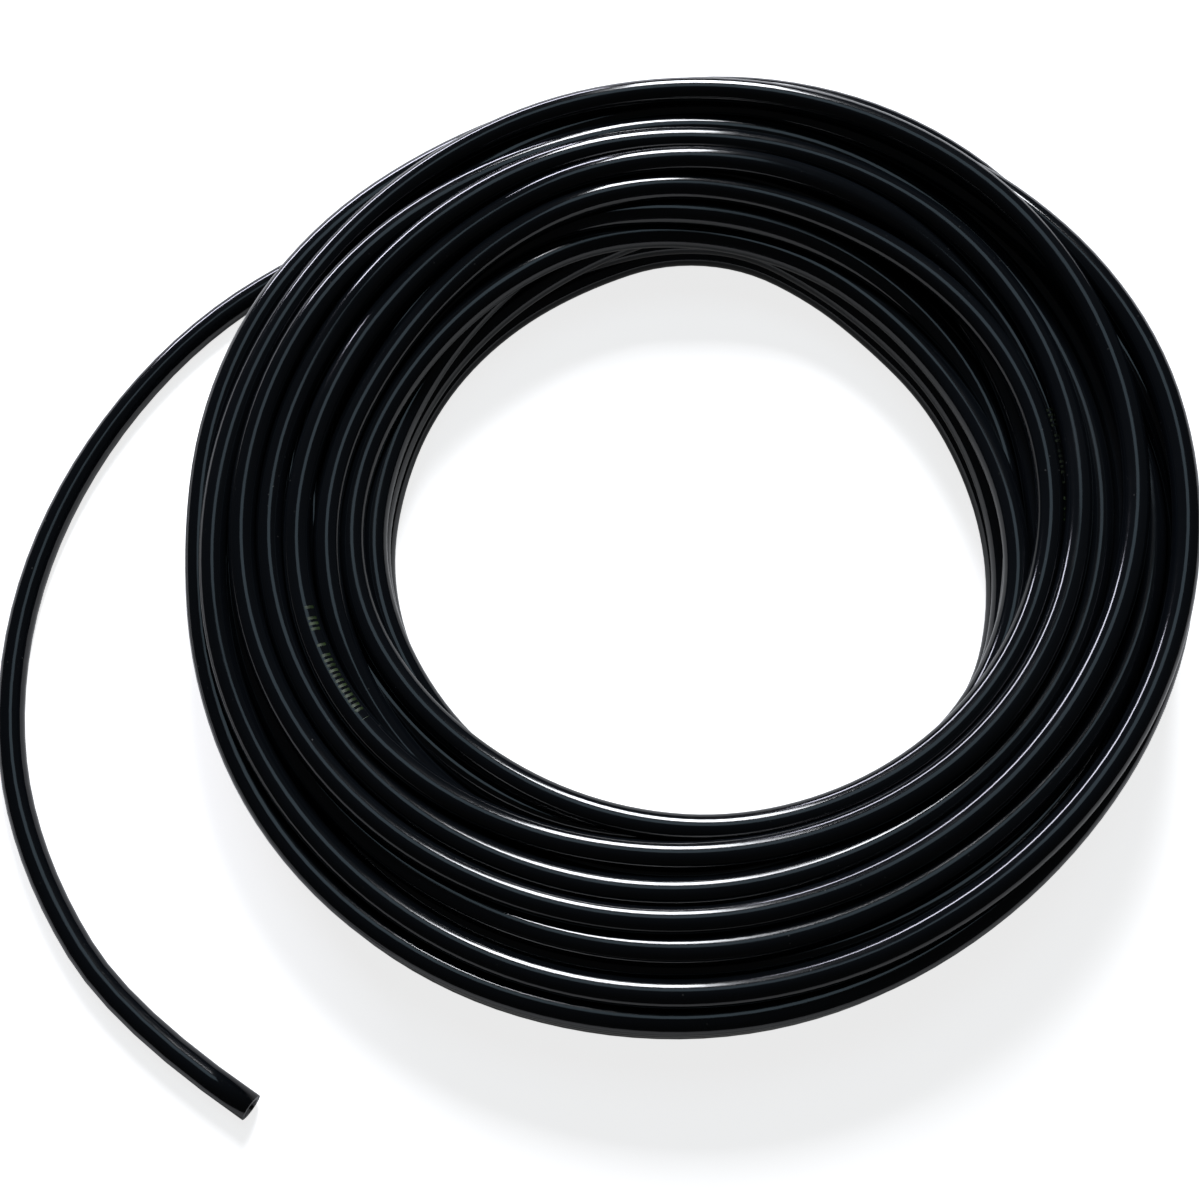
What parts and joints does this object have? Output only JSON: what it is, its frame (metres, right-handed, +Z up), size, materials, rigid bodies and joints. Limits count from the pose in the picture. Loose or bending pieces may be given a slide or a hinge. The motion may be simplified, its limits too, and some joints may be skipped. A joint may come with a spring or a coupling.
{
  "type": "coiled irrigation hose",
  "caption": "Smooth black micro irrigation hose wound into a loose flat-lying ring, its hollow, square-cut outer end led off over the floor.",
  "frame": {"origin": "middle of the coil's eye, at the surface that it rests on", "axes": "+Z up through the eye, +X across the coil away from the loose end, -Y the side where the loose end finishes"},
  "size_m": [0.2739, 0.2464, 0.0312],
  "materials": {
    "hose": "smooth extruded black plastic, glossy"
  },
  "bodies": {
    "root": {"hose_coil": "hose", "hose_tail": "hose"}
  },
  "joints": []
}
